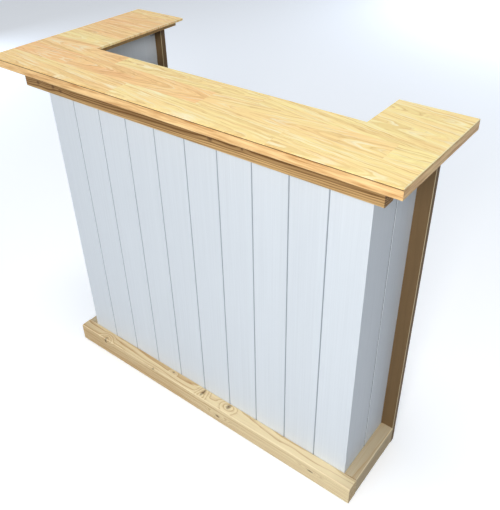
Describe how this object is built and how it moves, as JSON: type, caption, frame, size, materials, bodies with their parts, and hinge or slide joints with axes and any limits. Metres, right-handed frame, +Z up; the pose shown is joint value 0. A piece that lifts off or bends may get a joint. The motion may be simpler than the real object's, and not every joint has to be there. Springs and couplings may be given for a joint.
{
  "type": "bar counter",
  "caption": "Home bar counter clad in white V-jointed boards, with an oak-look worktop notched behind for the server, timber rails round the foot and open shelves at the back.",
  "frame": {"origin": "on the floor, in the middle of the worktop's overall length and depth", "axes": "+X along the front towards its right-hand end as seen by a customer, +Y from the customers towards the server, +Z up"},
  "size_m": [1.188, 0.543, 1.03],
  "materials": {
    "oak_laminate": "satin oak-look laminate in staves",
    "lipping": "satin oak-look lipping",
    "base_board": "raw chipboard",
    "cls_pine": "planed softwood with knots",
    "planed_pine": "planed softwood board",
    "stained_pine": "brown-stained planed softwood board",
    "white_board": "white satin paint",
    "shelf_board": "planed softwood board",
    "screw_steel": "yellow-zinc screws",
    "bracket_steel": "bright zinc"
  },
  "bodies": {
    "root": {"worktop_sheet": "oak_laminate", "lipping_front": "lipping", "lipping_left": "lipping", "lipping_right": "lipping", "base_board_front": "base_board", "base_board_left": "base_board", "base_board_right": "base_board", "top_batten": "cls_pine", "base_rail_front": "cls_pine", "base_rail_left": "cls_pine", "base_rail_right": "cls_pine", "rear_board_left": "stained_pine", "rear_board_right": "stained_pine", "front_board_01": "white_board", "front_board_02": "white_board", "front_board_03": "white_board", "front_board_04": "white_board", "front_board_05": "white_board", "front_board_06": "white_board", "front_board_07": "white_board", "front_board_08": "white_board", "front_board_09": "white_board", "front_board_10": "white_board", "left_board_01": "white_board", "left_board_02": "white_board", "left_board_03": "white_board", "left_board_04": "white_board", "right_board_01": "white_board", "right_board_02": "white_board", "frame_bottom_rail": "cls_pine", "frame_top_rail": "cls_pine", "stud_01": "cls_pine", "stud_02": "cls_pine", "stud_03": "cls_pine", "stud_04": "cls_pine", "side_bottom_rail_left": "cls_pine", "side_bottom_rail_right": "cls_pine", "side_top_cleat_left": "planed_pine", "side_top_cleat_right": "planed_pine", "shelf_lower": "shelf_board", "shelf_long_cleat_lower": "planed_pine", "shelf_end_cleat_lower_left": "planed_pine", "shelf_end_cleat_lower_right": "planed_pine", "shelf_upper": "shelf_board", "shelf_long_cleat_upper": "planed_pine", "shelf_end_cleat_upper_left": "planed_pine", "shelf_end_cleat_upper_right": "planed_pine", "shelf_screws": "screw_steel", "cleat_screws": "screw_steel", "rail_screws": "screw_steel", "rear_board_screws": "screw_steel", "angle_brackets": "bracket_steel", "bracket_screws": "screw_steel"}
  },
  "joints": []
}
